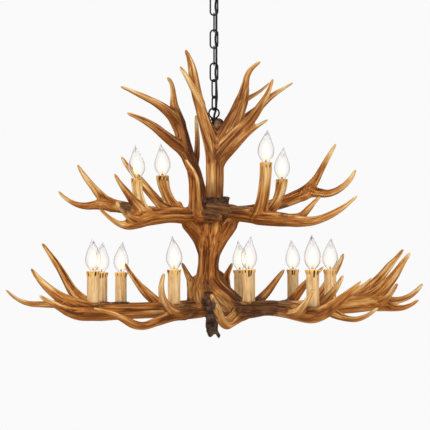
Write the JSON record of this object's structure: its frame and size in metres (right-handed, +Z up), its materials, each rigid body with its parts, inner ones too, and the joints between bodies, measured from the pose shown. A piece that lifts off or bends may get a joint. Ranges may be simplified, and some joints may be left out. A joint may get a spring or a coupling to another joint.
{
  "type": "antler chandelier",
  "caption": "Tiered branched antler chandelier on a chain, with candle sleeves and flame-tip bulbs, hung from a round ceiling canopy.",
  "frame": {"origin": "middle of the canopy's ceiling face, on the hanging axis", "axes": "+Z up into the ceiling; +X to the right seen from the front; -Y towards the viewer"},
  "size_m": [0.9312, 0.6173, 0.841],
  "materials": {
    "bulb_glass": "clear, lit warm white",
    "sleeve_resin": "streaked tan candle sleeve with golden drip rim",
    "bark_resin": "rough bark-like",
    "black_canopy_steel": "satin black",
    "black_nut_steel": "satin black",
    "black_chain_steel": "satin black",
    "zinc_steel": "zinc plated",
    "column_resin": "satin dark streaked",
    "threaded_steel": "threaded, plated",
    "antler_resin": "satin honey and brown streaked",
    "lampholder_plastic": "black phenolic",
    "black_cord": "matt black cord"
  },
  "bodies": {
    "ceiling_mount": {"canopy": "black_canopy_steel", "mounting_crossbar": "zinc_steel", "canopy_screws": "zinc_steel", "canopy_cap_nuts": "black_nut_steel", "canopy_eye": "black_chain_steel", "canopy_eye_nut": "black_chain_steel", "power_cord": "black_cord"},
    "link_1": {"chain_link_1": "black_chain_steel"},
    "link_2": {"chain_link_2": "black_chain_steel"},
    "link_3": {"chain_link_3": "black_chain_steel"},
    "link_4": {"chain_link_4": "black_chain_steel"},
    "link_5": {"chain_link_5": "black_chain_steel"},
    "link_6": {"chain_link_6": "black_chain_steel"},
    "link_7": {"chain_link_7": "black_chain_steel"},
    "fixture": {"candle_sleeves": "sleeve_resin", "candle_trays": "bark_resin", "centre_column": "column_resin", "centre_pipe": "threaded_steel", "crown_front_antler": "antler_resin", "crown_left_antler": "antler_resin", "crown_tie_studs": "threaded_steel", "finial_burr": "bark_resin", "hub_eye": "black_chain_steel", "lampholder_stems": "threaded_steel", "lower_back_antler": "antler_resin", "lower_back_left_antler": "antler_resin", "lower_back_right_antler": "antler_resin", "lower_front_left_antler": "antler_resin", "lower_front_right_antler": "antler_resin", "lower_hub_burr": "bark_resin", "lower_lampholders": "lampholder_plastic", "lower_left_antler": "antler_resin", "lower_right_antler": "antler_resin", "lower_tie_studs": "threaded_steel", "top_burr": "bark_resin", "upper_back_antler": "antler_resin", "upper_front_left_antler": "antler_resin", "upper_front_right_antler": "antler_resin", "upper_hub_burr": "bark_resin", "upper_lampholders": "lampholder_plastic", "upper_left_antler": "antler_resin", "upper_right_antler": "antler_resin", "upper_tie_studs": "threaded_steel"},
    "bulb_01_body": {"bulb_01": "bulb_glass"},
    "bulb_02_body": {"bulb_02": "bulb_glass"},
    "bulb_03_body": {"bulb_03": "bulb_glass"},
    "bulb_04_body": {"bulb_04": "bulb_glass"},
    "bulb_05_body": {"bulb_05": "bulb_glass"},
    "bulb_06_body": {"bulb_06": "bulb_glass"},
    "bulb_07_body": {"bulb_07": "bulb_glass"},
    "bulb_08_body": {"bulb_08": "bulb_glass"},
    "bulb_09_body": {"bulb_09": "bulb_glass"},
    "bulb_10_body": {"bulb_10": "bulb_glass"},
    "bulb_11_body": {"bulb_11": "bulb_glass"},
    "bulb_12_body": {"bulb_12": "bulb_glass"},
    "bulb_13_body": {"bulb_13": "bulb_glass"},
    "bulb_14_body": {"bulb_14": "bulb_glass"}
  },
  "joints": [
    {"name": "link_1_swing", "type": "hinge", "parent": "ceiling_mount", "child": "link_1", "pos_m": [0, 0, -0.0901], "axis": [0, 1, 0], "range_deg": [-8, 8], "deforming": ["power_cord"]},
    {"name": "link_2_swing", "type": "hinge", "parent": "link_1", "child": "link_2", "pos_m": [0, 0, -0.127], "axis": [1, 0, 0], "range_deg": [-8, 8], "deforming": ["power_cord"]},
    {"name": "link_3_swing", "type": "hinge", "parent": "link_2", "child": "link_3", "pos_m": [0, 0, -0.164], "axis": [0, 1, 0], "range_deg": [-8, 8], "deforming": ["power_cord"]},
    {"name": "link_4_swing", "type": "hinge", "parent": "link_3", "child": "link_4", "pos_m": [0, 0, -0.201], "axis": [1, 0, 0], "range_deg": [-8, 8], "deforming": ["power_cord"]},
    {"name": "link_5_swing", "type": "hinge", "parent": "link_4", "child": "link_5", "pos_m": [0, 0, -0.238], "axis": [0, 1, 0], "range_deg": [-8, 8], "deforming": ["power_cord"]},
    {"name": "link_6_swing", "type": "hinge", "parent": "link_5", "child": "link_6", "pos_m": [0, 0, -0.275], "axis": [1, 0, 0], "range_deg": [-8, 8], "deforming": ["power_cord"]},
    {"name": "link_7_swing", "type": "hinge", "parent": "link_6", "child": "link_7", "pos_m": [0, 0, -0.312], "axis": [0.5, 0.866, 0], "range_deg": [-8, 8], "deforming": ["power_cord"]},
    {"name": "fixture_swing", "type": "hinge", "parent": "link_7", "child": "fixture", "pos_m": [0, 0, -0.3385], "axis": [-0.5, 0.866, 0], "range_deg": [-8, 8], "deforming": ["power_cord"]},
    {"name": "bulb_01_turn", "type": "hinge", "parent": "fixture", "child": "bulb_01_body", "pos_m": [-0.16068, -0.138, -0.50098], "axis": [0, 0, 1], "range_deg": [0, 1440]},
    {"name": "bulb_02_turn", "type": "hinge", "parent": "fixture", "child": "bulb_02_body", "pos_m": [-0.11183, -0.044, -0.4878], "axis": [0, 0, 1], "range_deg": [0, 1440]},
    {"name": "bulb_03_turn", "type": "hinge", "parent": "fixture", "child": "bulb_03_body", "pos_m": [0.10872, -0.132, -0.46737], "axis": [0, 0, 1], "range_deg": [0, 1440]},
    {"name": "bulb_04_turn", "type": "hinge", "parent": "fixture", "child": "bulb_04_body", "pos_m": [0.14772, -0.038, -0.49472], "axis": [0, 0, 1], "range_deg": [0, 1440]},
    {"name": "bulb_05_turn", "type": "hinge", "parent": "fixture", "child": "bulb_05_body", "pos_m": [0.0023, 0.11, -0.48113], "axis": [0, 0, 1], "range_deg": [0, 1440]},
    {"name": "bulb_06_turn", "type": "hinge", "parent": "fixture", "child": "bulb_06_body", "pos_m": [-0.25801, -0.07, -0.69384], "axis": [0, 0, 1], "range_deg": [0, 1440]},
    {"name": "bulb_07_turn", "type": "hinge", "parent": "fixture", "child": "bulb_07_body", "pos_m": [-0.25784, 0.11, -0.69687], "axis": [0, 0, 1], "range_deg": [0, 1440]},
    {"name": "bulb_08_turn", "type": "hinge", "parent": "fixture", "child": "bulb_08_body", "pos_m": [-0.2135, 0.112, -0.69688], "axis": [0, 0, 1], "range_deg": [0, 1440]},
    {"name": "bulb_09_turn", "type": "hinge", "parent": "fixture", "child": "bulb_09_body", "pos_m": [-0.08386, -0.103, -0.69042], "axis": [0, 0, 1], "range_deg": [0, 1440]},
    {"name": "bulb_10_turn", "type": "hinge", "parent": "fixture", "child": "bulb_10_body", "pos_m": [0.06107, 0.214, -0.69191], "axis": [0, 0, 1], "range_deg": [0, 1440]},
    {"name": "bulb_11_turn", "type": "hinge", "parent": "fixture", "child": "bulb_11_body", "pos_m": [0.07412, -0.084, -0.69042], "axis": [0, 0, 1], "range_deg": [0, 1440]},
    {"name": "bulb_12_turn", "type": "hinge", "parent": "fixture", "child": "bulb_12_body", "pos_m": [0.18553, 0.182, -0.69047], "axis": [0, 0, 1], "range_deg": [0, 1440]},
    {"name": "bulb_13_turn", "type": "hinge", "parent": "fixture", "child": "bulb_13_body", "pos_m": [0.19812, -0.214, -0.6908], "axis": [0, 0, 1], "range_deg": [0, 1440]},
    {"name": "bulb_14_turn", "type": "hinge", "parent": "fixture", "child": "bulb_14_body", "pos_m": [0.25615, 0.01, -0.69044], "axis": [0, 0, 1], "range_deg": [0, 1440]}
  ]
}
